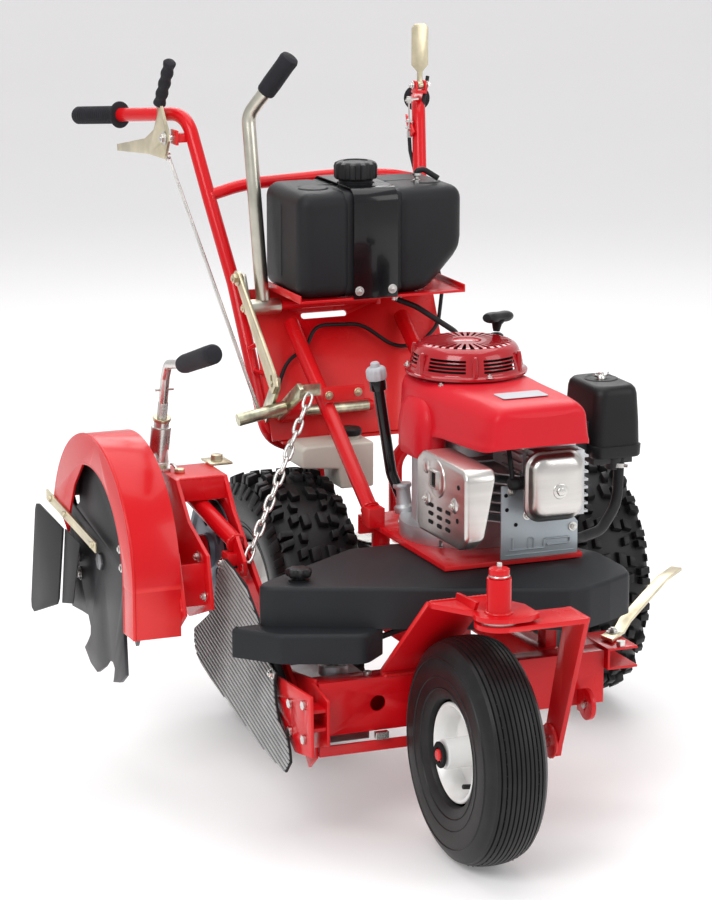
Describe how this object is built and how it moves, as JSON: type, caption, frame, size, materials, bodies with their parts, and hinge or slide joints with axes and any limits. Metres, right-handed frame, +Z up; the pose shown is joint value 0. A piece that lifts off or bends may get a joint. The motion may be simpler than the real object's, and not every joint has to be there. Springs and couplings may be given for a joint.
{
  "type": "walk-behind power lawn edger",
  "caption": "Walk-behind bed and lawn edger with a vertical toothed blade in a half-round guard on a lifting arm, engine, fuel tank, drive wheels and front caster.",
  "frame": {"origin": "on the ground under the rear axle line, on the centre of the body", "axes": "+X towards the operator's left, -Y towards the front, +Z up"},
  "size_m": [1.0315, 1.5473, 1.187],
  "materials": {
    "red_paint": "gloss",
    "black_plastic": "satin",
    "black_sheet": "satin",
    "tank_plastic": "satin",
    "strap_black": "gloss",
    "rubber_black": "matte",
    "tyre_black": "matte",
    "cast_alu": "satin",
    "zinc_bright": "satin",
    "zinc_yellow": "satin",
    "dark_steel": "satin",
    "pulley_blue": "satin",
    "iron_dark": "matte",
    "white_paint": "gloss",
    "white_tank": "satin",
    "red_plastic": "gloss"
  },
  "bodies": {
    "frame": {"main_frame": "red_paint", "front_beam": "red_paint", "frame_fasteners": "zinc_bright", "rear_panel": "red_paint", "handlebar": "red_paint", "hand_grips": "rubber_black", "tank_tray": "red_paint", "fuel_tank": "tank_plastic", "tank_strap": "strap_black", "hoses_and_cables": "rubber_black", "engine_block": "cast_alu", "head_cover": "cast_alu", "engine_shroud": "red_plastic", "recoil_cover": "red_plastic", "muffler": "zinc_bright", "air_cleaner": "black_plastic", "carburettor": "cast_alu", "oil_filler": "black_plastic", "drive_belts": "rubber_black", "gearbox": "cast_alu", "transaxle": "iron_dark", "reservoir": "white_tank", "belt_cover": "black_sheet", "caster_arm": "red_paint"},
    "rear_wheel_right": {"rear_tire_right": "tyre_black", "rear_rim_right": "white_paint"},
    "rear_wheel_left": {"rear_tire_left": "tyre_black", "rear_rim_left": "white_paint"},
    "front_wheel": {"front_tire": "tyre_black", "front_rim": "white_paint"},
    "caster": {"caster_fork": "red_paint", "caster_pins": "zinc_bright"},
    "crankshaft": {"crank_pulley": "zinc_bright"},
    "starter": {"starter_handle": "black_plastic"},
    "fuel_cap_body": {"fuel_cap": "black_plastic"},
    "dipstick_body": {"dipstick_cap": "white_tank"},
    "cover_knob_body": {"cover_knob": "black_plastic"},
    "gearbox_input": {"input_pulley": "zinc_bright"},
    "gearbox_output": {"output_pulley": "pulley_blue"},
    "transaxle_input": {"transaxle_pulley": "zinc_bright"},
    "arm": {"edger_arm": "red_paint", "arm_fasteners": "zinc_yellow", "blade_guard": "red_paint", "arm_belt": "rubber_black", "side_flap": "rubber_black", "depth_jack": "zinc_bright"},
    "blade_body": {"blade": "dark_steel", "blade_shaft": "dark_steel", "blade_pulley": "pulley_blue"},
    "deflector": {"deflector_flap": "rubber_black"},
    "depth_crank_body": {"depth_crank": "zinc_yellow"},
    "lever_body": {"lift_lever": "zinc_yellow"},
    "link_body": {"lift_link": "zinc_yellow"},
    "bellcrank_body": {"bellcrank": "zinc_yellow"},
    "chain_body": {"lift_chain": "zinc_bright"},
    "drive_lever_body": {"drive_lever": "zinc_yellow"},
    "control_rod_body": {"control_rod": "zinc_bright"},
    "paddle_body": {"paddle_lever": "zinc_yellow"},
    "pedal_body": {"foot_pedal": "zinc_yellow"}
  },
  "joints": [
    {"name": "rear_right_spin", "type": "hinge", "parent": "frame", "child": "rear_wheel_right", "pos_m": [-0.173, 0, 0.2285], "axis": [1, 0, 0], "continuous": true},
    {"name": "rear_left_spin", "type": "hinge", "parent": "frame", "child": "rear_wheel_left", "pos_m": [0.363, 0, 0.2285], "axis": [1, 0, 0], "continuous": true},
    {"name": "caster_swivel", "type": "hinge", "parent": "frame", "child": "caster", "pos_m": [-0.154, -0.856, 0.44], "axis": [0, 0, 1], "range_deg": [-180, 50]},
    {"name": "front_wheel_spin", "type": "hinge", "parent": "caster", "child": "front_wheel", "pos_m": [-0.154, -0.774, 0.181], "axis": [1, 0, 0], "continuous": true},
    {"name": "engine_spin", "type": "hinge", "parent": "frame", "child": "crankshaft", "pos_m": [0.015, -0.349, 0.36], "axis": [0, 0, 1], "continuous": true},
    {"name": "gearbox_input_spin", "type": "hinge", "parent": "frame", "child": "gearbox_input", "pos_m": [-0.285, -0.505, 0.3], "axis": [0, 0, 1], "continuous": true},
    {"name": "gearbox_output_spin", "type": "hinge", "parent": "frame", "child": "gearbox_output", "pos_m": [-0.34, -0.49, 0.186], "axis": [1, 0, 0], "continuous": true},
    {"name": "transaxle_input_spin", "type": "hinge", "parent": "frame", "child": "transaxle_input", "pos_m": [0.015, -0.02, 0.318], "axis": [0, 0, 1], "continuous": true},
    {"name": "arm_lift", "type": "hinge", "parent": "frame", "child": "arm", "pos_m": [-0.35, -0.49, 0.186], "axis": [1, 0, 0], "range_deg": [-36, 0]},
    {"name": "blade_spin", "type": "hinge", "parent": "arm", "child": "blade_body", "pos_m": [-0.45, -0.152, 0.372], "axis": [1, 0, 0], "continuous": true},
    {"name": "deflector_swing", "type": "hinge", "parent": "arm", "child": "deflector", "pos_m": [-0.5802, -0.05, 0.4], "axis": [0, 0.994, 0.1094], "range_deg": [0, 60]},
    {"name": "depth_crank_turn", "type": "hinge", "parent": "arm", "child": "depth_crank_body", "pos_m": [-0.44, -0.1, 0.508], "axis": [0, -0.2639, 0.9646], "range_deg": [0, 3600]},
    {"name": "starter_pull", "type": "slide", "parent": "frame", "child": "starter", "axis": [0, 0.8366, 0.5478], "range_m": [0, 0.12]},
    {"name": "fuel_cap_turn", "type": "hinge", "parent": "frame", "child": "fuel_cap_body", "pos_m": [-0.008, 0.078, 0.96], "axis": [0, 0, 1], "range_deg": [0, 360]},
    {"name": "dipstick_turn", "type": "hinge", "parent": "frame", "child": "dipstick_body", "pos_m": [-0.105, -0.25, 0.676], "axis": [-0.1571, 0, 0.9876], "range_deg": [0, 360]},
    {"name": "cover_knob_turn", "type": "hinge", "parent": "frame", "child": "cover_knob_body", "pos_m": [-0.339, -0.494, 0.415], "axis": [0, 0, 1], "range_deg": [0, 720]},
    {"name": "lift_lever_swing", "type": "hinge", "parent": "frame", "child": "lever_body", "pos_m": [-0.16, 0.135, 0.723], "axis": [1, 0, 0], "range_deg": [0, 70]},
    {"name": "lift_link_swing", "type": "hinge", "parent": "lever_body", "child": "link_body", "pos_m": [-0.196, 0.161, 0.772], "axis": [1, 0, 0], "range_deg": [-57.3, 0]},
    {"name": "bellcrank_swing", "type": "hinge", "parent": "frame", "child": "bellcrank_body", "pos_m": [-0.18, 0.05, 0.55], "axis": [1, 0, 0], "range_deg": [0, 26]},
    {"name": "chain_swing", "type": "hinge", "parent": "bellcrank_body", "child": "chain_body", "pos_m": [-0.15, -0.062, 0.604], "axis": [1, 0, 0], "range_deg": [-5, 0]},
    {"name": "drive_lever_squeeze", "type": "hinge", "parent": "frame", "child": "drive_lever_body", "pos_m": [-0.275, 0.312, 1.004], "axis": [1, 0, 0], "range_deg": [0, 10]},
    {"name": "control_rod_slide", "type": "slide", "parent": "frame", "child": "control_rod_body", "axis": [-0.1259, 0.5595, 0.8192], "range_m": [0, 0.0055]},
    {"name": "paddle_swing", "type": "hinge", "parent": "frame", "child": "paddle_body", "pos_m": [0.212, 0.308, 1.076], "axis": [1, 0, 0], "range_deg": [-30, 30]},
    {"name": "pedal_press", "type": "hinge", "parent": "frame", "child": "pedal_body", "pos_m": [0.198, -0.54, 0.27], "axis": [-0.5705, 0.8213, 0], "range_deg": [0, 4]}
  ],
  "couplings": [
    {"joint": "gearbox_input_spin", "follows": "engine_spin", "ratio": 0.6},
    {"joint": "gearbox_output_spin", "follows": "engine_spin", "ratio": 0.6},
    {"joint": "blade_spin", "follows": "engine_spin", "ratio": 0.27407},
    {"joint": "transaxle_input_spin", "follows": "engine_spin", "ratio": 0.62},
    {"joint": "arm_lift", "follows": "lift_lever_swing", "ratio": -0.51429},
    {"joint": "bellcrank_swing", "follows": "lift_lever_swing", "ratio": 0.37143},
    {"joint": "lift_link_swing", "follows": "lift_lever_swing", "ratio": -0.81857},
    {"joint": "chain_swing", "follows": "lift_lever_swing", "ratio": -0.071429},
    {"joint": "control_rod_slide", "follows": "drive_lever_squeeze", "m_per_rad": 0.03}
  ]
}
